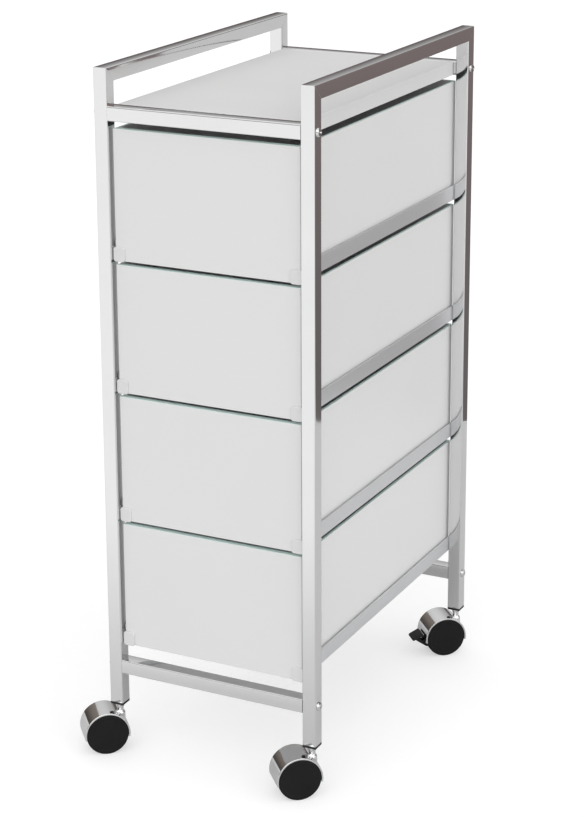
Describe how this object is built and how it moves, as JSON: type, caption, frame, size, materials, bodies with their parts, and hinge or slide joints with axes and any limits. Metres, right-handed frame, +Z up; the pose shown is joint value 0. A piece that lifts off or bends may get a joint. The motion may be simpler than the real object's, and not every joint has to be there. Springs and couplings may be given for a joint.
{
  "type": "rolling salon trolley",
  "caption": "Narrow rolling trolley with a square-tube frame, a flat top board between handle rails, open-topped drawers on side runners and hooded swivel casters.",
  "frame": {"origin": "on the floor, at the middle of the whole footprint with the casters trailing as at rest; the tube frame's own middle is 13.9 mm to the right and 13.7 mm behind it", "axes": "+X to the right of a user who faces the drawer fronts, +Y to the rear, +Z up; the drawers open towards -Y"},
  "size_m": [0.3072, 0.465, 0.776],
  "materials": {
    "chrome_tube": "polished chrome plate on square steel tube and folded steel",
    "chrome_hood": "polished chrome plate on the caster hoods",
    "bright_screw": "bright nickel-plated steel screws",
    "zinc_steel": "zinc-plated steel",
    "white_board": "white melamine laminate on particle board, satin",
    "drawer_white": "white moulded plastic, satin, with a grey-green cut upper edge",
    "clip_white": "white moulded plastic, semi-gloss",
    "black_plastic": "black moulded plastic, satin",
    "black_wheel": "black nylon, satin disc with a smooth tread"
  },
  "bodies": {
    "frame": {"front_left_post": "chrome_tube", "rear_left_post": "chrome_tube", "left_handle_rail": "chrome_tube", "left_runner_1": "chrome_tube", "left_runner_2": "chrome_tube", "left_runner_3": "chrome_tube", "left_runner_4": "chrome_tube", "front_right_post": "chrome_tube", "rear_right_post": "chrome_tube", "right_handle_rail": "chrome_tube", "right_runner_1": "chrome_tube", "right_runner_2": "chrome_tube", "right_runner_3": "chrome_tube", "right_runner_4": "chrome_tube", "top_front_rail": "chrome_tube", "top_rear_rail": "chrome_tube", "bottom_front_rail": "chrome_tube", "bottom_rear_rail": "chrome_tube", "frame_screws": "bright_screw", "rail_end_plugs": "zinc_steel", "top_board": "white_board", "board_pins": "zinc_steel", "leg_caps": "black_plastic", "front_left_caster_stem": "zinc_steel", "front_right_caster_stem": "zinc_steel", "rear_left_caster_stem": "zinc_steel", "rear_right_caster_stem": "zinc_steel"},
    "drawer_1": {"drawer_1_front": "drawer_white", "drawer_1_tray": "drawer_white", "drawer_1_corner_clips": "clip_white"},
    "drawer_2": {"drawer_2_front": "drawer_white", "drawer_2_tray": "drawer_white", "drawer_2_corner_clips": "clip_white"},
    "drawer_3": {"drawer_3_front": "drawer_white", "drawer_3_tray": "drawer_white", "drawer_3_corner_clips": "clip_white"},
    "drawer_4": {"drawer_4_front": "drawer_white", "drawer_4_tray": "drawer_white", "drawer_4_corner_clips": "clip_white"},
    "front_left_caster": {"front_left_caster_hood": "chrome_hood", "front_left_caster_axle": "zinc_steel"},
    "front_left_caster_wheel_1": {"front_left_caster_wheel_1": "black_wheel"},
    "front_left_caster_wheel_2": {"front_left_caster_wheel_2": "black_wheel"},
    "front_right_caster": {"front_right_caster_hood": "chrome_hood", "front_right_caster_axle": "zinc_steel"},
    "front_right_caster_wheel_1": {"front_right_caster_wheel_1": "black_wheel"},
    "front_right_caster_wheel_2": {"front_right_caster_wheel_2": "black_wheel"},
    "rear_left_caster": {"rear_left_caster_hood": "chrome_hood", "rear_left_caster_axle": "zinc_steel", "rear_left_caster_brake_pin": "zinc_steel"},
    "rear_left_caster_wheel_1": {"rear_left_caster_wheel_1": "black_wheel"},
    "rear_left_caster_wheel_2": {"rear_left_caster_wheel_2": "black_wheel"},
    "rear_left_caster_brake": {"rear_left_caster_brake_pedal": "black_plastic"},
    "rear_right_caster": {"rear_right_caster_hood": "chrome_hood", "rear_right_caster_axle": "zinc_steel", "rear_right_caster_brake_pin": "zinc_steel"},
    "rear_right_caster_wheel_1": {"rear_right_caster_wheel_1": "black_wheel"},
    "rear_right_caster_wheel_2": {"rear_right_caster_wheel_2": "black_wheel"},
    "rear_right_caster_brake": {"rear_right_caster_brake_pedal": "black_plastic"}
  },
  "joints": [
    {"name": "drawer_1_slide", "type": "slide", "parent": "frame", "child": "drawer_1", "axis": [0, -1, 0], "range_m": [0, 0.3]},
    {"name": "drawer_2_slide", "type": "slide", "parent": "frame", "child": "drawer_2", "axis": [0, -1, 0], "range_m": [0, 0.3]},
    {"name": "drawer_3_slide", "type": "slide", "parent": "frame", "child": "drawer_3", "axis": [0, -1, 0], "range_m": [0, 0.3]},
    {"name": "drawer_4_slide", "type": "slide", "parent": "frame", "child": "drawer_4", "axis": [0, -1, 0], "range_m": [0, 0.3]},
    {"name": "front_left_caster_swivel", "type": "hinge", "parent": "frame", "child": "front_left_caster", "pos_m": [-0.10407, -0.19007, 0.05], "axis": [0, 0, 1], "continuous": true},
    {"name": "front_left_caster_wheel_1_spin", "type": "hinge", "parent": "front_left_caster", "child": "front_left_caster_wheel_1", "pos_m": [-0.11755, -0.202, 0.024], "axis": [0.6626, -0.749, 0], "continuous": true},
    {"name": "front_left_caster_wheel_2_spin", "type": "hinge", "parent": "front_left_caster", "child": "front_left_caster_wheel_2", "pos_m": [-0.11755, -0.202, 0.024], "axis": [0.6626, -0.749, 0], "continuous": true},
    {"name": "front_right_caster_swivel", "type": "hinge", "parent": "frame", "child": "front_right_caster", "pos_m": [0.13593, -0.19007, 0.05], "axis": [0, 0, 1], "continuous": true},
    {"name": "front_right_caster_wheel_1_spin", "type": "hinge", "parent": "front_right_caster", "child": "front_right_caster_wheel_1", "pos_m": [0.12245, -0.202, 0.024], "axis": [0.6626, -0.749, 0], "continuous": true},
    {"name": "front_right_caster_wheel_2_spin", "type": "hinge", "parent": "front_right_caster", "child": "front_right_caster_wheel_2", "pos_m": [0.12245, -0.202, 0.024], "axis": [0.6626, -0.749, 0], "continuous": true},
    {"name": "rear_left_caster_swivel", "type": "hinge", "parent": "frame", "child": "rear_left_caster", "pos_m": [-0.10407, 0.21393, 0.05], "axis": [0, 0, 1], "continuous": true},
    {"name": "rear_left_caster_wheel_1_spin", "type": "hinge", "parent": "rear_left_caster", "child": "rear_left_caster_wheel_1", "pos_m": [-0.11755, 0.202, 0.024], "axis": [0.6626, -0.749, 0], "continuous": true},
    {"name": "rear_left_caster_wheel_2_spin", "type": "hinge", "parent": "rear_left_caster", "child": "rear_left_caster_wheel_2", "pos_m": [-0.11755, 0.202, 0.024], "axis": [0.6626, -0.749, 0], "continuous": true},
    {"name": "rear_left_caster_brake_press", "type": "hinge", "parent": "rear_left_caster", "child": "rear_left_caster_brake", "pos_m": [-0.13066, 0.1904, 0.024], "axis": [0.6626, -0.749, 0], "range_deg": [0, 14]},
    {"name": "rear_right_caster_swivel", "type": "hinge", "parent": "frame", "child": "rear_right_caster", "pos_m": [0.13593, 0.21393, 0.05], "axis": [0, 0, 1], "continuous": true},
    {"name": "rear_right_caster_wheel_1_spin", "type": "hinge", "parent": "rear_right_caster", "child": "rear_right_caster_wheel_1", "pos_m": [0.12245, 0.202, 0.024], "axis": [0.6626, -0.749, 0], "continuous": true},
    {"name": "rear_right_caster_wheel_2_spin", "type": "hinge", "parent": "rear_right_caster", "child": "rear_right_caster_wheel_2", "pos_m": [0.12245, 0.202, 0.024], "axis": [0.6626, -0.749, 0], "continuous": true},
    {"name": "rear_right_caster_brake_press", "type": "hinge", "parent": "rear_right_caster", "child": "rear_right_caster_brake", "pos_m": [0.10934, 0.1904, 0.024], "axis": [0.6626, -0.749, 0], "range_deg": [0, 14]}
  ]
}
